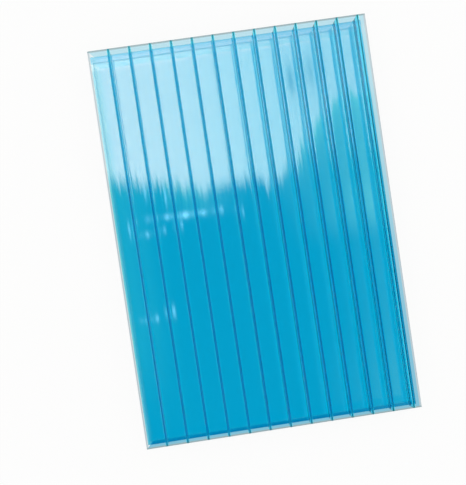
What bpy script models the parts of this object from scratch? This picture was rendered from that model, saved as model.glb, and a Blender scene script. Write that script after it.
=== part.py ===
"""Twin-wall polycarbonate sheet: a cut sample, lying flat with its flutes along Y.

The real sheet is one extrusion, two thin walls held apart by thin upright ribs. Here its
section is drawn in the XZ plane as a row of I-shaped cells, one for each rib. The cells
are joined through the walls, extruded along the flutes, and filleted at the rib roots.
Both long edges were sawn between two ribs, so each ends in an open-sided slot between
two bare wall flanges. Both ends were sawn square, which leaves every flute open.

Metres, +Z up. The origin is the centre of the lower face.
"""

import math

import bmesh
import bpy

# The cut piece
LENGTH = 0.200
WIDTH = 0.140

# The extruded section
THICKNESS = 0.010
WALL = 0.0005
RIB = 0.0005
RIB_PITCH = 0.0105
FILLET_RADIUS = 0.0005
FILLET_SEGMENTS = 5

# From the left sawn edge to the middle of the first rib
LEFT_FLANGE = 0.0103

# Finish
AQUA = (0.16, 0.62, 0.78, 1.0)
GLOSS_ROUGHNESS = 0.08
POLYCARBONATE_IOR = 1.585

# Vertices nearer than this are one vertex of two neighbouring cells
JOIN_DISTANCE = 1e-6


def clear_scene():
    for obj in list(bpy.data.objects):
        bpy.data.objects.remove(obj)


def polycarbonate():
    """Clear aqua-blue polycarbonate with the gloss of a calibrated extrusion."""
    material = bpy.data.materials.new("aqua_polycarbonate")
    material.use_nodes = True
    shader = material.node_tree.nodes["Principled BSDF"]
    shader.inputs["Base Color"].default_value = AQUA
    shader.inputs["Roughness"].default_value = GLOSS_ROUGHNESS
    shader.inputs["Metallic"].default_value = 0.0
    shader.inputs["IOR"].default_value = POLYCARBONATE_IOR
    shader.inputs["Transmission Weight"].default_value = 1.0
    return material


def rib_centres():
    """The X of each rib: whole pitches from the first, as far as the right cut leaves a whole rib."""
    first = LEFT_FLANGE - WIDTH / 2
    room = WIDTH - LEFT_FLANGE - RIB / 2 - FILLET_RADIUS
    count = 1 + math.floor(room / RIB_PITCH)
    return [first + RIB_PITCH * index for index in range(count)]


def add_cell(bm, rib_x, left_x, right_x):
    """One I-shaped face of the section: a rib, and the stretch of both walls that it carries."""
    rib_left = rib_x - RIB / 2
    rib_right = rib_x + RIB / 2
    lower = WALL
    upper = THICKNESS - WALL
    outline = (
        (left_x, 0.0),
        (right_x, 0.0),
        (right_x, lower),
        (rib_right, lower),
        (rib_right, upper),
        (right_x, upper),
        (right_x, THICKNESS),
        (left_x, THICKNESS),
        (left_x, upper),
        (rib_left, upper),
        (rib_left, lower),
        (left_x, lower),
    )
    bm.faces.new([bm.verts.new((x, -LENGTH / 2, z)) for x, z in outline])


def draw_section(bm):
    """All cells side by side, meeting in the middle of each closed flute."""
    ribs = rib_centres()
    seams = [(a + b) / 2 for a, b in zip(ribs, ribs[1:])]
    ends = [-WIDTH / 2, *seams, WIDTH / 2]
    for rib_x, left_x, right_x in zip(ribs, ends, ends[1:]):
        add_cell(bm, rib_x, left_x, right_x)
    bmesh.ops.remove_doubles(bm, verts=bm.verts, dist=JOIN_DISTANCE)


def extrude_along_flutes(bm):
    drawn = bmesh.ops.extrude_face_region(bm, geom=bm.faces[:], use_keep_orig=True)
    moved = [item for item in drawn["geom"] if isinstance(item, bmesh.types.BMVert)]
    bmesh.ops.translate(bm, verts=moved, vec=(0.0, LENGTH, 0.0))
    bmesh.ops.recalc_face_normals(bm, faces=bm.faces)


def fillet_rib_roots(bm):
    """Rounds the four inward corners of each rib, as the die does."""
    roots = [edge for edge in bm.edges if edge.calc_face_angle_signed() < -math.pi / 4]
    rounded = bmesh.ops.bevel(
        bm,
        geom=roots,
        affect="EDGES",
        offset=FILLET_RADIUS,
        offset_type="OFFSET",
        segments=FILLET_SEGMENTS,
        profile=0.5,
        material=-1,
    )
    for face in rounded["faces"]:
        face.smooth = True


def build_sheet():
    bm = bmesh.new()
    draw_section(bm)
    extrude_along_flutes(bm)
    fillet_rib_roots(bm)
    mesh = bpy.data.meshes.new("multiwall_sheet")
    bm.to_mesh(mesh)
    bm.free()
    sheet = bpy.data.objects.new("multiwall_sheet", mesh)
    sheet.data.materials.append(polycarbonate())
    bpy.context.collection.objects.link(sheet)
    return sheet


clear_scene()
build_sheet()
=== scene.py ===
"""Dresses a cut sample of clear aqua twin-wall polycarbonate sheet, and sets up its studio."""

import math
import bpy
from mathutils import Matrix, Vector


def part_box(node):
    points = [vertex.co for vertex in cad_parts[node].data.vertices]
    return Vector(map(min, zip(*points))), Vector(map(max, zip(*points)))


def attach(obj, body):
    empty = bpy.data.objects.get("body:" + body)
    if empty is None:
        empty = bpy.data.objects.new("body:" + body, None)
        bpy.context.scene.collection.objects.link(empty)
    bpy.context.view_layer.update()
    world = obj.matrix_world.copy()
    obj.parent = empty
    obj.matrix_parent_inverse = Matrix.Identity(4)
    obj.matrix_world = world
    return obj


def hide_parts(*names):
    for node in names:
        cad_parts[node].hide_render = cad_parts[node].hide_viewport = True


bl_info = {
    "name": "Twin-wall sheet sample",
    "version": (1, 0, 0),
    "blender": (4, 5, 0),
    "location": "3D View > Sidebar > Twin-wall",
    "description": "Models a clear twin-wall sheet, with its floor, lights and camera",
    "category": "Object",
}

import bmesh
import bpy
from bpy.props import FloatProperty, FloatVectorProperty, IntProperty, PointerProperty
from mathutils import Matrix, Vector

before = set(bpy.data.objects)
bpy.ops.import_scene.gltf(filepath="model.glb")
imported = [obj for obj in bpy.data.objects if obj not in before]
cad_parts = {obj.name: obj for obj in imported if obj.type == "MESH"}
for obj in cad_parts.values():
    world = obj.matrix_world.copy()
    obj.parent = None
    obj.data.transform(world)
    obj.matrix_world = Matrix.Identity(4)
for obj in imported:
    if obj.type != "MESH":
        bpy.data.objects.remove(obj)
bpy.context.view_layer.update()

SHEET_LOW, SHEET_HIGH = (Vector(corner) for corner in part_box("multiwall_sheet"))

# Points nearer than this are one point
SAME_PLACE = 1e-6

# Edges that turn inwards by more than this are rib roots
ROOT_ANGLE = math.radians(45)

# Faces that meet at more than this are shaded apart
CRISP_ANGLE = math.radians(35)

# How far a face may lie from its true plane and still get that plane's finish
HEIGHT_SLACK = 0.00001
CUT_SLACK = 0.00002

# The share of the painted edge band's width that has its full colour
FULL_EDGE = 0.65

# How wide the scuffed lines along the cuts are, and over what width they then fade
END_LINE = 0.0005
SIDE_LINE = 0.0006
LINE_FADE = 0.0005

# The floor: half its side, how far under the sheet it lies, and the share of it that glows
FLOOR_REACH = 4.0
FLOOR_GAP = 0.0002
FLOOR_GLOW = 0.92

# The picture that the camera is set for, in pixels
PICTURE_WIDTH = 466
PICTURE_HEIGHT = 485
FOCAL_PIXELS = 701.6
OPTICAL_CENTRE = (219.5, 288.5)

# Width of the camera's sensor, in millimetres
SENSOR = 36.0

# Where the camera stands, and the directions of its back and its top
CAMERA_PLACE = Vector((-0.03277, -0.02118, 0.36054))
CAMERA_BACK = Vector((-0.029847, 0.013083, 0.999469))
CAMERA_UP = Vector((0.147268, 0.98906, -0.008549))

# The corners of the stretch of the sheet's plane that mirrors the card to the camera
MIRRORED_LOW = Vector((-0.0725, -0.112))
MIRRORED_HIGH = Vector((0.085, 0.115))

# The card's pattern is laid out on that stretch: u is across the sheet and v along it, in
# millimetres from the sheet's middle.
MILLIMETRES = 1000

# Where the sky turns to its rim colour and then to the colour beyond it, along v
RIM_START = 92.0
RIM_FULL = 94.0
BEYOND_START = 96.6

# The skyline's steps: how wide they are, and how far up and down they and its streaks reach
STEP_WIDTH = 2.3
STEP_HEIGHT = 4.0
STREAK_HEIGHT = 14.0

# The haze that lies under all of the sky
FAINT_HAZE = 0.005

# Smudges in the sky: centre, reach, and how much of the sky each takes away
SMUDGES = (
    ((30.0, 74.5), (3.2, 9.0), -0.62),
    ((41.0, 77.5), (4.0, 9.5), -0.43),
)

# Glints: centre, reach and brightness
GLINTS = (
    ((-34.0, 13.9), (2.9, 1.6), 0.55),
    ((-25.5, 13.8), (2.6, 1.5), 0.32),
    ((-16.8, 14.0), (1.1, 2.0), 0.3),
    ((-42.5, 14.2), (2.5, 1.5), 0.32),
    ((-52.1, 14.4), (2.2, 2.0), 0.12),
    ((-46.6, 7.8), (1.3, 2.0), 0.2),
    ((-54.4, 6.6), (1.5, 1.8), 0.26),
    ((-61.9, 10.3), (0.5, 4.0), 0.45),
    ((-38.0, 9.6), (0.5, 3.0), 0.3),
    ((-5.9, 11.4), (0.5, 3.0), 0.28),
    ((-41.3, 24.8), (0.9, 5.0), 0.3),
    ((-51.2, 28.1), (0.9, 4.0), 0.25),
    ((-62.9, -36.5), (2.0, 1.5), 0.08),
    ((-56.9, -36.4), (1.3, 2.0), 0.3),
    ((-48.5, -34.1), (0.9, 3.0), 0.35),
)

# The dark patch of the world, as run over rise from straight up: its middle, where each of
# its sides and ends fades, and where its far part begins and fades at the sides.
PATCH_MIDDLE = (0.09, 0.05)
PATCH_SIDE = (0.52, 0.62)
PATCH_END = (0.36, 0.44)
PATCH_FAR = (0.14, 0.24)
PATCH_FAR_SIDE = (0.26, 0.34)


class SheetSection(bpy.types.PropertyGroup):
    """The extruded section, and how far the cooling wall leaves its true plane."""

    wall: FloatProperty(
        name="Wall",
        description="Thickness of each wall",
        default=0.0005,
        unit="LENGTH",
        precision=5,
    )
    rib: FloatProperty(
        name="Rib",
        description="Thickness of each rib",
        default=0.0005,
        unit="LENGTH",
        precision=5,
    )
    pitch: FloatProperty(
        name="Rib pitch",
        description="From the middle of one rib to the middle of the next",
        default=0.0105,
        unit="LENGTH",
        precision=5,
    )
    left_flange: FloatProperty(
        name="Left flange",
        description="From the left sawn edge to the middle of the first rib",
        default=0.0103,
        unit="LENGTH",
        precision=5,
    )
    fillet: FloatProperty(
        name="Rib root radius",
        description="Radius of the fillets",
        default=0.0005,
        unit="LENGTH",
        precision=5,
    )
    dish: FloatProperty(
        name="Dish",
        description="How far each wall sinks in between two ribs",
        default=0.000012,
        unit="LENGTH",
        precision=6,
    )
    fillet_steps: IntProperty(
        name="Fillet steps",
        description="Flat faces that make up each fillet",
        default=6,
    )
    wall_cuts: IntProperty(
        name="Wall cuts",
        description="Cuts across each stretch of wall",
        default=9,
    )
    length_cuts: IntProperty(
        name="Length cuts",
        description="Cuts along the flutes",
        default=39,
    )


class SheetFinish(bpy.types.PropertyGroup):
    """The colour of the plastic by its place in the section, with painted shade along the ribs
    and a painted band along the cuts, and the gloss of its faces.
    """

    ior: FloatProperty(name="IOR", description="Refractive index of polycarbonate", default=1.585)
    roughness: FloatProperty(
        name="Roughness",
        description="Of the extruded faces",
        default=0.02,
        subtype="FACTOR",
    )
    sawn_roughness: FloatProperty(
        name="Sawn roughness",
        description="Of the cut ends and sawn edges",
        default=0.45,
        subtype="FACTOR",
    )
    sawn_tint: FloatVectorProperty(
        name="Sawn faces",
        description="Tint of the cut ends and sawn edges",
        default=(0.75, 0.87, 0.9),
        subtype="COLOR",
    )
    upper_tint: FloatVectorProperty(
        name="Upper wall",
        description="Tint of both faces of the upper wall",
        default=(0.98, 0.93, 0.97),
        subtype="COLOR",
    )
    # Painted light: the upper wall is painted deeper in a band along its cuts, for the colour
    # that light guided out at the cut edges takes on; the band is darker towards the near end and
    # palest along the left edge.
    far_edge_painted: FloatVectorProperty(
        name="Far upper wall edge",
        description="Tint of the upper wall along its cut edges, at the far end",
        default=(0.54, 0.79, 0.88),
        subtype="COLOR",
    )
    near_edge_painted: FloatVectorProperty(
        name="Near upper wall edge",
        description="The same at the near end",
        default=(0.26, 0.58, 0.74),
        subtype="COLOR",
    )
    left_edge_painted: FloatVectorProperty(
        name="Left upper wall edge",
        description="The same along the left sawn edge, at the wide flange",
        default=(0.83, 0.89, 0.91),
        subtype="COLOR",
    )
    edge_reach: FloatProperty(
        name="Edge reach",
        description="Width of the tinted edge",
        default=0.0045,
        unit="LENGTH",
        precision=5,
    )
    end_line_tint: FloatVectorProperty(
        name="End line",
        description="Tint of the scuffed line at a cut end",
        default=(0.38, 0.49, 0.51),
        subtype="COLOR",
    )
    side_line_tint: FloatVectorProperty(
        name="Side line",
        description="Tint of the scuffed line at a sawn side",
        default=(0.6, 0.66, 0.7),
        subtype="COLOR",
    )
    # Painted shade: the rib sides are painted deeper than the walls, so that the ribs read as
    # dark bands.
    rib_side_painted_shade: FloatVectorProperty(
        name="Rib sides",
        description="Tint of the sides of the ribs",
        default=(0.0, 0.86, 1.0),
        subtype="COLOR",
    )
    # Painted shade: the upper face over each rib is painted deeper, standing in for the light
    # lost down the rib's depth as seen from above.
    line_tint: FloatVectorProperty(
        name="Rib lines",
        description="Tint of the upper face over the ribs, where the plastic is thick",
        default=(0.03, 0.51, 0.85),
        subtype="COLOR",
    )
    line_gloss: FloatVectorProperty(
        name="Rib line gloss",
        description="Share and colour of the plain reflection over the ribs",
        default=(0.15, 1.0, 1.0),
        subtype="COLOR",
    )
    # Painted shade: the fillets at the rib roots are painted deeper, for the dark lines where the
    # ribs meet the walls.
    upper_root_painted_shade: FloatVectorProperty(
        name="Upper roots",
        description="Tint of the fillets under the upper wall",
        default=(0.1, 0.95, 1.0),
        subtype="COLOR",
    )
    lower_root_painted_shade: FloatVectorProperty(
        name="Lower roots",
        description="Tint of the fillets on the lower wall",
        default=(0.0, 1.0, 1.0),
        subtype="COLOR",
    )
    inner_tint: FloatVectorProperty(
        name="Lower wall inside",
        description="Tint of the lower wall's inner face",
        default=(0.1, 0.85, 1.0),
        subtype="COLOR",
    )
    under_tint: FloatVectorProperty(
        name="Underside",
        description="Tint of the lower wall's outer face",
        default=(0.0, 0.35, 0.76),
        subtype="COLOR",
    )
    upper_gloss: FloatProperty(
        name="Upper gloss",
        description="Share of its plain reflection that the upper face keeps",
        default=0.35,
        subtype="FACTOR",
    )
    ceiling_gloss: FloatProperty(
        name="Ceiling gloss",
        description="The same for the upper wall's inner face",
        default=0.1,
        subtype="FACTOR",
    )
    root_gloss: FloatProperty(
        name="Root gloss",
        description="The same for the fillets",
        default=0.1,
        subtype="FACTOR",
    )
    rib_gloss: FloatProperty(
        name="Rib gloss",
        description="The same for the sides of the ribs",
        default=0.5,
        subtype="FACTOR",
    )
    coat: FloatProperty(
        name="Inner gloss",
        description="Weight of the gloss layer on the lower wall's inner face",
        default=1.0,
        subtype="FACTOR",
    )
    coat_ior: FloatProperty(
        name="Gloss layer IOR",
        description="Refractive index of that layer",
        default=2.1,
    )
    depth_colour: FloatVectorProperty(
        name="Depth colour",
        description="Colour that thick plastic takes on",
        default=(0.0, 0.61, 0.78),
        subtype="COLOR",
    )
    depth_density: FloatProperty(
        name="Depth density",
        description="How fast that colour builds up, per metre",
        default=160.0,
    )


class StudioLight(bpy.types.PropertyGroup):
    """The floor, and the bright card that the sheet mirrors."""

    floor_colour: FloatVectorProperty(
        name="Floor",
        description="Colour of the floor",
        default=(0.9, 0.9, 0.9),
        subtype="COLOR",
    )
    card_height: FloatProperty(
        name="Card height",
        description="Of the bright card over the sheet",
        default=1.0,
        unit="LENGTH",
    )
    card_strength: FloatProperty(
        name="Card strength",
        description="Brightness of the card",
        default=2.2,
    )
    sky_left: FloatVectorProperty(
        name="Left sky",
        description="Colour of the sky on the left of the card",
        default=(1.06, 0.9, 0.614),
        subtype="COLOR",
    )
    sky_right: FloatVectorProperty(
        name="Right sky",
        description="The same on the right",
        default=(1.0, 1.035, 0.75),
        subtype="COLOR",
    )
    sky_rim: FloatVectorProperty(
        name="Sky rim",
        description="The same near the far end of the sheet",
        default=(1.7, 1.2, 0.8),
        subtype="COLOR",
    )
    sky_beyond: FloatVectorProperty(
        name="Sky beyond",
        description="The same past that rim",
        default=(0.76, 0.72, 0.6),
        subtype="COLOR",
    )
    haze_left: FloatVectorProperty(
        name="Left haze",
        description="Colour of the haze under the sky, on the left of the card",
        default=(0.9, 4.5, 1.2),
        subtype="COLOR",
    )
    haze_right: FloatVectorProperty(
        name="Right haze",
        description="The same on the right",
        default=(0.78, 1.65, 0.85),
        subtype="COLOR",
    )
    glint: FloatVectorProperty(
        name="Glints",
        description="Colour of the glints in the haze",
        default=(1.4, 2.4, 2.8),
        subtype="COLOR",
    )
    side_glow: FloatVectorProperty(
        name="Side glow",
        description="Colour of the glow along the left of the card",
        default=(1.0, 1.0, 0.5),
        subtype="COLOR",
    )


def add_object(name, bm):
    """Makes an object of a bmesh, and frees it."""
    mesh = bpy.data.meshes.new(name)
    bm.to_mesh(mesh)
    bm.free()
    made = bpy.data.objects.new(name, mesh)
    bpy.context.collection.objects.link(made)
    return made


def rib_centres(section):
    """The X of each rib: whole pitches from the first, as far as a whole rib fits."""
    first = SHEET_LOW.x + section.left_flange
    room = SHEET_HIGH.x - first - section.rib / 2 - section.fillet
    count = 1 + math.floor(room / section.pitch)
    return [first + section.pitch * index for index in range(count)]


def add_cell(bm, section, rib_x, left_x, right_x):
    """One I-shaped face of the section: a rib, and the stretch of both walls that it carries."""
    rib_left = rib_x - section.rib / 2
    rib_right = rib_x + section.rib / 2
    lower = SHEET_LOW.z + section.wall
    upper = SHEET_HIGH.z - section.wall
    outline = (
        (left_x, SHEET_LOW.z),
        (right_x, SHEET_LOW.z),
        (right_x, lower),
        (rib_right, lower),
        (rib_right, upper),
        (right_x, upper),
        (right_x, SHEET_HIGH.z),
        (left_x, SHEET_HIGH.z),
        (left_x, upper),
        (rib_left, upper),
        (rib_left, lower),
        (left_x, lower),
    )
    bm.faces.new([bm.verts.new((x, SHEET_LOW.y, z)) for x, z in outline])


def draw_section(bm, section):
    """All cells side by side, meeting in the middle of each closed flute."""
    ribs = rib_centres(section)
    seams = [(a + b) / 2 for a, b in zip(ribs, ribs[1:])]
    ends = [SHEET_LOW.x, *seams, SHEET_HIGH.x]
    for rib_x, left_x, right_x in zip(ribs, ends, ends[1:]):
        add_cell(bm, section, rib_x, left_x, right_x)
    bmesh.ops.remove_doubles(bm, verts=bm.verts, dist=SAME_PLACE)


def extrude_along_flutes(bm):
    drawn = bmesh.ops.extrude_face_region(bm, geom=bm.faces[:], use_keep_orig=True)
    moved = [item for item in drawn["geom"] if isinstance(item, bmesh.types.BMVert)]
    bmesh.ops.translate(bm, verts=moved, vec=(0.0, SHEET_HIGH.y - SHEET_LOW.y, 0.0))
    bmesh.ops.recalc_face_normals(bm, faces=bm.faces)


def fillet_rib_roots(bm, section):
    """Rounds the four inward corners of each rib, as the die does."""
    roots = [edge for edge in bm.edges if edge.calc_face_angle_signed() < -ROOT_ANGLE]
    bmesh.ops.bevel(
        bm,
        geom=roots,
        affect="EDGES",
        offset=section.fillet,
        offset_type="OFFSET",
        segments=section.fillet_steps,
        profile=0.5,
        material=-1,
    )


def edge_span(edge, axis):
    return abs(edge.verts[0].co[axis] - edge.verts[1].co[axis])


def subdivide_for_sinks(bm, section):
    """Cuts the walls across and along, so that they can leave their true plane."""
    across = [
        edge
        for edge in bm.edges
        if edge_span(edge, 0) > section.pitch / 4 and edge_span(edge, 1) < SAME_PLACE
    ]
    bmesh.ops.subdivide_edges(bm, edges=across, cuts=section.wall_cuts)
    along = [edge for edge in bm.edges if edge_span(edge, 1) > SAME_PLACE]
    bmesh.ops.subdivide_edges(bm, edges=along, cuts=section.length_cuts)


def sink_walls(bm, section):
    """Dishes both faces of both walls inwards between the ribs."""
    first = SHEET_LOW.x + section.left_flange
    middle = (SHEET_LOW.z + SHEET_HIGH.z) / 2
    inner_face = (SHEET_HIGH.z - SHEET_LOW.z) / 2 - section.wall
    for vert in bm.verts:
        height = vert.co.z - middle
        if abs(height) < inner_face - SAME_PLACE:
            continue
        turn = (vert.co.x - first) / section.pitch * 2 * math.pi
        vert.co.z -= math.copysign(section.dish * (1 - math.cos(turn)) / 2, height)


def add_sheet(section):
    bm = bmesh.new()
    draw_section(bm, section)
    extrude_along_flutes(bm)
    fillet_rib_roots(bm, section)
    subdivide_for_sinks(bm, section)
    sink_walls(bm, section)
    for face in bm.faces:
        face.smooth = True
    sheet = add_object("clear_sheet", bm)
    sheet.data.set_sharp_from_angle(angle=CRISP_ANGLE)
    return sheet


def empty_tree(block):
    """The node tree of a new material or world, with nothing in it."""
    block.use_nodes = True
    block.node_tree.nodes.clear()
    return block.node_tree


def fill(tree, socket, value):
    """Links an input to a socket, or gives it a value. A colour is given as three numbers."""
    if isinstance(value, bpy.types.NodeSocket):
        tree.links.new(value, socket)
    elif socket.type == "RGBA":
        socket.default_value = (*value, 1.0)
    else:
        socket.default_value = value


def node(tree, kind, inputs=None, **settings):
    made = tree.nodes.new(kind)
    for name, value in settings.items():
        setattr(made, name, value)
    for name, value in (inputs or {}).items():
        fill(tree, made.inputs[name], value)
    return made


def math_node(tree, operation, *values):
    return node(tree, "ShaderNodeMath", dict(enumerate(values)), operation=operation).outputs[0]


def total(tree, *values):
    result = values[0]
    for value in values[1:]:
        result = math_node(tree, "ADD", result, value)
    return result


def product(tree, *values):
    result = values[0]
    for value in values[1:]:
        result = math_node(tree, "MULTIPLY", result, value)
    return result


def smooth_step(tree, value, low, high, out_low=0.0, out_high=1.0):
    """Eases from out_low, where value is at low, to out_high, where it is at high."""
    inputs = {
        "Value": value,
        "From Min": low,
        "From Max": high,
        "To Min": out_low,
        "To Max": out_high,
    }
    return node(tree, "ShaderNodeMapRange", inputs, interpolation_type="SMOOTHSTEP").outputs[0]


def hump(tree, value, centre, reach):
    """One at the centre, and fading out on both sides of it."""
    offset = math_node(tree, "DIVIDE", math_node(tree, "SUBTRACT", value, centre), reach)
    return math_node(tree, "EXPONENT", product(tree, offset, offset, -1.0))


def line_noise(tree, value, scale, detail):
    inputs = {"W": value, "Scale": scale, "Detail": detail}
    return node(tree, "ShaderNodeTexNoise", inputs, noise_dimensions="1D").outputs[0]


def mix_colour(tree, factor, first, second):
    inputs = {0: factor, 6: first, 7: second}
    return node(tree, "ShaderNodeMix", inputs, data_type="RGBA").outputs[2]


def object_place(tree):
    """The X, Y and Z of a point on the piece, in metres."""
    place = node(tree, "ShaderNodeTexCoord").outputs["Object"]
    return node(tree, "ShaderNodeSeparateXYZ", {0: place}).outputs


def zoned(tree, height, lowest, zones):
    """The value of the zone that the height lies in. Each zone over the lowest has its start."""
    result = lowest
    for start, value in zones:
        inside = math_node(tree, "GREATER_THAN", height, start)
        result = mix_colour(tree, inside, result, value)
    return result


def grey(level):
    return (level, level, level)


class ZoneStarts:
    """The height at which each zone of the finish starts, from the lower wall's inner face up."""

    def __init__(self, section):
        floor = SHEET_LOW.z + section.wall
        ceiling = SHEET_HIGH.z - section.wall
        slack = section.dish + HEIGHT_SLACK
        self.inner_face = SHEET_LOW.z + section.wall / 2
        self.lower_roots = floor + slack
        self.ribs = floor + section.fillet
        self.upper_roots = ceiling - section.fillet
        self.upper_wall = ceiling - slack
        self.upper_face = SHEET_HIGH.z - section.wall / 2


def section_tint(tree, z, starts, finish):
    """The plastic's tint by height, with painted shade on the rib roots and the rib sides."""
    zones = (
        (starts.inner_face, finish.inner_tint),
        (starts.lower_roots, finish.lower_root_painted_shade),
        (starts.ribs, finish.rib_side_painted_shade),
        (starts.upper_roots, finish.upper_root_painted_shade),
        (starts.upper_wall, finish.upper_tint),
    )
    return zoned(tree, z, finish.under_tint, zones)


def section_gloss(tree, z, starts, finish):
    """The share of its plain reflection that each face keeps, by height."""
    zones = (
        (starts.lower_roots, grey(finish.root_gloss)),
        (starts.ribs, grey(finish.rib_gloss)),
        (starts.upper_roots, grey(finish.root_gloss)),
        (starts.upper_wall, grey(finish.ceiling_gloss)),
        (starts.upper_face, grey(finish.upper_gloss)),
    )
    return zoned(tree, z, grey(1.0), zones)


def inner_coat(tree, z, starts, finish):
    """The weight of the gloss layer, which only the lower wall's inner face has."""
    above = math_node(tree, "GREATER_THAN", z, starts.inner_face)
    below = math_node(tree, "LESS_THAN", z, starts.lower_roots)
    return product(tree, above, below, finish.coat)


def rib_lines(tree, x, z, starts, section):
    """One on the upper face over each rib, fading out over its fillets, where the painted shade
    line lies.
    """
    first = SHEET_LOW.x + section.left_flange
    half_pitch = section.pitch / 2
    along = math_node(tree, "MAXIMUM", math_node(tree, "SUBTRACT", x, first), -half_pitch)
    from_rib = math_node(tree, "PINGPONG", along, half_pitch)
    half_rib = section.rib / 2
    line = smooth_step(tree, from_rib, half_rib, half_rib + section.fillet, 1.0, 0.0)
    return product(tree, line, math_node(tree, "GREATER_THAN", z, starts.upper_face))


def sawn_faces(tree, x, y):
    """One on the cut ends and the sawn edges."""
    from_middle = math_node(tree, "ABSOLUTE", y)
    end = math_node(tree, "GREATER_THAN", from_middle, SHEET_HIGH.y - CUT_SLACK)
    from_axis = math_node(tree, "ABSOLUTE", x)
    side = math_node(tree, "GREATER_THAN", from_axis, SHEET_HIGH.x - CUT_SLACK)
    return math_node(tree, "MAXIMUM", end, side)


def tint_edges(tree, tint, place, starts, finish):
    """Gives the upper wall its painted band along the cuts, darker towards the near end, and its
    scuffed lines along the cuts.
    """
    x, y, z = place
    from_left = math_node(tree, "SUBTRACT", x, SHEET_LOW.x)
    from_right = math_node(tree, "SUBTRACT", SHEET_HIGH.x, x)
    from_side = math_node(tree, "MINIMUM", from_left, from_right)
    from_end = math_node(tree, "SUBTRACT", SHEET_HIGH.y, math_node(tree, "ABSOLUTE", y))
    from_cut = math_node(tree, "MINIMUM", from_end, from_side)
    upper = math_node(tree, "GREATER_THAN", z, starts.upper_wall)

    far = smooth_step(tree, y, SHEET_LOW.y, SHEET_HIGH.y)
    painted_edge_colour = mix_colour(tree, far, finish.near_edge_painted, finish.far_edge_painted)
    left_nearer = math_node(tree, "LESS_THAN", from_left, from_end)
    by_left = product(tree, left_nearer, math_node(tree, "LESS_THAN", x, 0.0))
    painted_edge_colour = mix_colour(tree, by_left, painted_edge_colour, finish.left_edge_painted)
    full = finish.edge_reach * FULL_EDGE
    edge = smooth_step(tree, from_cut, full, finish.edge_reach, 1.0, 0.0)
    tint = mix_colour(tree, product(tree, edge, upper), tint, painted_edge_colour)

    for distance, width, line_tint in (
        (from_side, SIDE_LINE, finish.side_line_tint),
        (from_end, END_LINE, finish.end_line_tint),
    ):
        line = smooth_step(tree, distance, width, width + LINE_FADE, 1.0, 0.0)
        tint = mix_colour(tree, product(tree, line, upper), tint, line_tint)
    return tint


def aqua_material(section, finish):
    """Clear aqua plastic: the upper wall faint, the lower wall deep."""
    material = bpy.data.materials.new("aqua_polycarbonate")
    tree = empty_tree(material)
    starts = ZoneStarts(section)
    x, y, z = object_place(tree)
    sawn = sawn_faces(tree, x, y)
    over_rib = rib_lines(tree, x, z, starts, section)
    # Painted shade on the rib roots and the rib sides comes with the tint by height.
    tint = section_tint(tree, z, starts, finish)
    # Painted shade: the deeper line over each rib.
    tint = mix_colour(tree, over_rib, tint, finish.line_tint)
    # Painted light: the deeper band along the cuts, darker towards the near end.
    tint = tint_edges(tree, tint, (x, y, z), starts, finish)
    tint = mix_colour(tree, sawn, tint, finish.sawn_tint)
    gloss = section_gloss(tree, z, starts, finish)
    gloss = mix_colour(tree, over_rib, gloss, finish.line_gloss)
    rougher = finish.sawn_roughness - finish.roughness
    faces = {
        "Base Color": tint,
        "Roughness": math_node(tree, "MULTIPLY_ADD", sawn, rougher, finish.roughness),
        "IOR": finish.ior,
        "Transmission Weight": 1.0,
        "Specular Tint": gloss,
        "Coat Weight": inner_coat(tree, z, starts, finish),
        "Coat Roughness": finish.roughness,
        "Coat IOR": finish.coat_ior,
    }
    shader = node(tree, "ShaderNodeBsdfPrincipled", faces)
    inside = {"Color": finish.depth_colour, "Density": finish.depth_density}
    depth = node(tree, "ShaderNodeVolumeAbsorption", inside)
    shown = {"Surface": shader.outputs[0], "Volume": depth.outputs[0]}
    node(tree, "ShaderNodeOutputMaterial", shown)
    return material


class TWINWALL_OT_sheet(bpy.types.Operator):
    """Model the clear sheet and give it its finish"""

    bl_idname = "twinwall.sheet"
    bl_label = "Clear sheet"

    def execute(self, context):
        section = context.scene.twinwall_section
        finish = context.scene.twinwall_finish
        sheet = add_sheet(section)
        sheet.data.materials.append(aqua_material(section, finish))
        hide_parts("multiwall_sheet")
        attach(sheet, "root")
        return {"FINISHED"}


def floor_material(studio):
    """Pale, and bright to the rays that see it straight, mirrored or through the sheet."""
    material = bpy.data.materials.new("floor_white")
    tree = empty_tree(material)
    path = node(tree, "ShaderNodeLightPath")
    seen = path.outputs["Is Camera Ray"]
    for ray in ("Is Glossy Ray", "Is Transmission Ray"):
        seen = math_node(tree, "MAXIMUM", seen, path.outputs[ray])
    share = product(tree, seen, FLOOR_GLOW)
    diffuse = node(tree, "ShaderNodeBsdfDiffuse", {"Color": studio.floor_colour})
    glow = node(tree, "ShaderNodeEmission", {"Color": grey(1.0), "Strength": 1.0})
    inputs = {0: share, 1: diffuse.outputs[0], 2: glow.outputs[0]}
    mix = node(tree, "ShaderNodeMixShader", inputs)
    node(tree, "ShaderNodeOutputMaterial", {"Surface": mix.outputs[0]})
    return material


def add_floor(studio):
    bm = bmesh.new()
    bmesh.ops.create_grid(bm, x_segments=1, y_segments=1, size=FLOOR_REACH)
    bmesh.ops.translate(bm, verts=bm.verts, vec=(0, 0, SHEET_LOW.z - FLOOR_GAP))
    floor = add_object("floor", bm)
    floor.data.materials.append(floor_material(studio))


def spots(tree, u, v, table):
    """Round or long spots that fade out from their centres, added up."""
    made = []
    for (centre_u, centre_v), (reach_u, reach_v), strength in table:
        across = hump(tree, u, centre_u, reach_u)
        along = hump(tree, v, centre_v, reach_v)
        made.append(product(tree, across, along, strength))
    return total(tree, *made)


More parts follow.
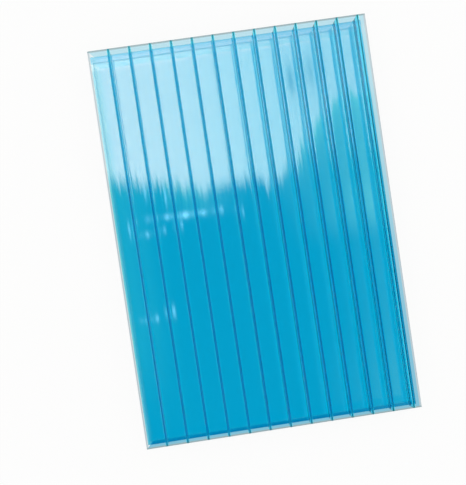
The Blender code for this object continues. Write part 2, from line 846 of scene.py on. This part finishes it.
def sky_edge(tree, u):
    """How far up the sheet the sky begins: low in the middle, high on the right, and ragged."""
    slope = math_node(tree, "MULTIPLY_ADD", u, -0.1, 28.5)
    left_dip = product(tree, hump(tree, u, -22.0, 14.0), -6.0)
    right_dip = product(tree, hump(tree, u, 13.0, 6.5), -5.0)
    rise = smooth_step(tree, u, 14.0, 58.0, 0.0, 41.0)
    edge = total(tree, slope, left_dip, right_dip, rise)
    step = math_node(tree, "FLOOR", math_node(tree, "DIVIDE", u, STEP_WIDTH))
    white_noise = node(tree, "ShaderNodeTexWhiteNoise", {"W": step}, noise_dimensions="1D")
    streaks = line_noise(tree, u, 0.5, 3.0)
    for noise, height in ((white_noise.outputs["Value"], STEP_HEIGHT), (streaks, STREAK_HEIGHT)):
        offset = math_node(tree, "SUBTRACT", noise, 0.5)
        edge = math_node(tree, "MULTIPLY_ADD", offset, height, edge)
    return edge


def haze_level(tree, u, v, fade):
    """The haze: a shoulder and streaks that fade downwards, and faint patches at the sides."""
    rise = smooth_step(tree, u, 8.0, 40.0, 0.02, 0.3)
    fall = smooth_step(tree, u, 40.0, 56.0, 0.0, -0.16)
    shoulder = product(tree, total(tree, rise, fall), fade)

    fine = smooth_step(tree, line_noise(tree, u, 1.1, 2.0), 0.35, 0.65, 0.25, 1.9)
    start = smooth_step(tree, v, 9.0, 13.0)
    streaks = product(tree, hump(tree, u, -24.0, 15.0), fade, fine, start, 0.14)

    left = smooth_step(tree, u, -70.0, -44.0, 0.025, 0.0)
    left = product(tree, left, smooth_step(tree, v, -95.0, -40.0))
    right = smooth_step(tree, u, 15.0, 66.0, 0.0, 0.15)
    right = product(tree, right, smooth_step(tree, v, -14.0, 4.0))
    spot = spots(tree, u, v, [((64.0, 9.0), (14.0, 9.0), 0.07)])

    corner = smooth_step(tree, v, -100.0, -40.0, 0.108, 0.06)
    corner = product(tree, hump(tree, u, 70.0, 20.0), corner)
    low = smooth_step(tree, v, -85.0, -50.0, 0.014, 0.0)
    low = product(tree, smooth_step(tree, u, 18.0, 34.0), low)
    return total(tree, shoulder, streaks, left, right, spot, corner, low, FAINT_HAZE)


def card_levels(tree, u, v):
    """Levels of the sky, the haze under it, the glints and the glow along the left side."""
    above = math_node(tree, "SUBTRACT", v, sky_edge(tree, u))
    crisp = smooth_step(tree, u, 32.0, 48.0, 1.0, 2.2)
    in_sky = smooth_step(tree, product(tree, above, crisp), -5.0, 6.0)
    under_sky = math_node(tree, "SUBTRACT", 1.0, in_sky)

    pale = smooth_step(tree, u, -70.0, 60.0, 1.25, 0.82)
    clear = total(tree, spots(tree, u, v, SMUDGES), 1.0)
    sky = product(tree, in_sky, pale, clear)

    below = math_node(tree, "MINIMUM", above, 0.0)
    fade = math_node(tree, "EXPONENT", math_node(tree, "DIVIDE", below, 9.0))
    haze = product(tree, haze_level(tree, u, v, fade), under_sky)

    side = product(tree, smooth_step(tree, u, -71.3, -69.3, 0.7, 0.0), under_sky)
    return sky, haze, spots(tree, u, v, GLINTS), side


def card_colours(tree, u, v, studio):
    """The colours that go with those levels."""
    rightward = smooth_step(tree, u, -60.0, 30.0)
    sky = mix_colour(tree, rightward, studio.sky_left, studio.sky_right)
    sky = mix_colour(tree, smooth_step(tree, v, RIM_START, RIM_FULL), sky, studio.sky_rim)
    beyond = math_node(tree, "GREATER_THAN", v, BEYOND_START)
    sky = mix_colour(tree, beyond, sky, studio.sky_beyond)
    rightward = smooth_step(tree, u, -55.0, -15.0)
    haze = mix_colour(tree, rightward, studio.haze_left, studio.haze_right)
    return sky, haze, studio.glint, studio.side_glow


def card_material(studio, stretch, shift):
    """Shines in the pattern, which stretch and shift take from the sheet to the card."""
    material = bpy.data.materials.new("card_light")
    tree = empty_tree(material)
    x, y, _ = object_place(tree)
    scale = MILLIMETRES / (1 + stretch)
    u = product(tree, math_node(tree, "ADD", x, shift.x), scale)
    v = product(tree, math_node(tree, "ADD", y, shift.y), scale)
    levels = card_levels(tree, u, v)
    colours = card_colours(tree, u, v, studio)
    glows = []
    for level, colour in zip(levels, colours):
        strength = product(tree, level, studio.card_strength)
        inputs = {"Color": colour, "Strength": strength}
        glows.append(node(tree, "ShaderNodeEmission", inputs).outputs[0])
    light = glows[0]
    for glow in glows[1:]:
        light = node(tree, "ShaderNodeAddShader", {0: light, 1: glow}).outputs[0]
    node(tree, "ShaderNodeOutputMaterial", {"Surface": light})
    return material


def add_card(studio, section):
    """The bright card overhead, placed so that the lower wall mirrors it to the camera."""
    height = studio.card_height
    mirror = SHEET_LOW.z + section.wall
    stretch = (height - mirror) / (CAMERA_PLACE.z - mirror)
    shift = CAMERA_PLACE.xy * stretch
    low = MIRRORED_LOW * (1 + stretch) - shift
    high = MIRRORED_HIGH * (1 + stretch) - shift
    size = high - low
    middle = (high + low) / 2
    face_down = Matrix.Rotation(math.pi, 3, "X")
    bm = bmesh.new()
    bmesh.ops.create_grid(bm, x_segments=1, y_segments=1, size=0.5)
    bmesh.ops.scale(bm, verts=bm.verts, vec=(size.x, size.y, 1))
    bmesh.ops.rotate(bm, verts=bm.verts, cent=(0, 0, 0), matrix=face_down)
    bmesh.ops.translate(bm, verts=bm.verts, vec=(middle.x, middle.y, height))
    card = add_object("card", bm)
    card.data.materials.append(card_material(studio, stretch, shift))
    card.visible_camera = False


def add_world():
    """White all round, with a dark patch overhead, which the flat walls mirror to the camera."""
    world = bpy.data.worlds.new("studio")
    tree = empty_tree(world)
    path = node(tree, "ShaderNodeLightPath")
    direction = node(tree, "ShaderNodeTexCoord").outputs["Generated"]
    x, y, z = node(tree, "ShaderNodeSeparateXYZ", {0: direction}).outputs
    sideways = math_node(tree, "DIVIDE", x, z)
    lengthways = math_node(tree, "DIVIDE", y, z)
    middle_side, middle_end = PATCH_MIDDLE
    from_side = math_node(tree, "ABSOLUTE", math_node(tree, "SUBTRACT", sideways, middle_side))
    from_end = math_node(tree, "ABSOLUTE", math_node(tree, "SUBTRACT", lengthways, middle_end))
    far = smooth_step(tree, lengthways, *PATCH_FAR)
    lights = (
        product(tree, far, smooth_step(tree, from_side, *PATCH_FAR_SIDE)),
        smooth_step(tree, from_side, *PATCH_SIDE),
        smooth_step(tree, from_end, *PATCH_END),
    )
    strength = path.outputs["Is Camera Ray"]
    for light in lights:
        strength = math_node(tree, "MAXIMUM", strength, light)
    glow = node(tree, "ShaderNodeBackground", {"Color": grey(1.0), "Strength": strength})
    node(tree, "ShaderNodeOutputWorld", {"Surface": glow.outputs[0]})
    bpy.context.scene.world = world


def add_camera():
    data = bpy.data.cameras.new("camera")
    data.sensor_width = SENSOR
    data.lens = FOCAL_PIXELS / PICTURE_HEIGHT * SENSOR
    data.shift_x = (PICTURE_WIDTH / 2 - OPTICAL_CENTRE[0]) / PICTURE_HEIGHT
    data.shift_y = (OPTICAL_CENTRE[1] - PICTURE_HEIGHT / 2) / PICTURE_HEIGHT
    data.clip_start = 0.01
    data.clip_end = 50.0
    camera = bpy.data.objects.new("camera", data)
    back = CAMERA_BACK.normalized()
    right = CAMERA_UP.cross(back).normalized()
    turn = Matrix((right, back.cross(right), back)).transposed()
    camera.matrix_world = Matrix.Translation(CAMERA_PLACE) @ turn.to_4x4()
    bpy.context.collection.objects.link(camera)
    bpy.context.scene.camera = camera


class TWINWALL_OT_stage(bpy.types.Operator):
    """Add the floor, the lights and the camera"""

    bl_idname = "twinwall.stage"
    bl_label = "Stage"

    def execute(self, context):
        section = context.scene.twinwall_section
        studio = context.scene.twinwall_studio
        add_floor(studio)
        add_card(studio, section)
        add_world()
        add_camera()
        context.scene.view_settings.view_transform = "Standard"
        return {"FINISHED"}


class TWINWALL_PT_panel(bpy.types.Panel):
    """Lists the sheet's and the stage's operators"""

    bl_label = "Twin-wall sheet"
    bl_idname = "TWINWALL_PT_panel"
    bl_space_type = "VIEW_3D"
    bl_region_type = "UI"
    bl_category = "Twin-wall"

    def draw(self, context):
        for operator in (TWINWALL_OT_sheet, TWINWALL_OT_stage):
            self.layout.operator(operator.bl_idname)


CLASSES = (
    SheetSection,
    SheetFinish,
    StudioLight,
    TWINWALL_OT_sheet,
    TWINWALL_OT_stage,
    TWINWALL_PT_panel,
)


def register():
    for cls in CLASSES:
        bpy.utils.register_class(cls)
    bpy.types.Scene.twinwall_section = PointerProperty(type=SheetSection)
    bpy.types.Scene.twinwall_finish = PointerProperty(type=SheetFinish)
    bpy.types.Scene.twinwall_studio = PointerProperty(type=StudioLight)


def unregister():
    del bpy.types.Scene.twinwall_studio
    del bpy.types.Scene.twinwall_finish
    del bpy.types.Scene.twinwall_section
    for cls in reversed(CLASSES):
        bpy.utils.unregister_class(cls)


def main():
    register()
    bpy.ops.twinwall.sheet()
    bpy.ops.twinwall.stage()


if __name__ == "__main__":
    main()
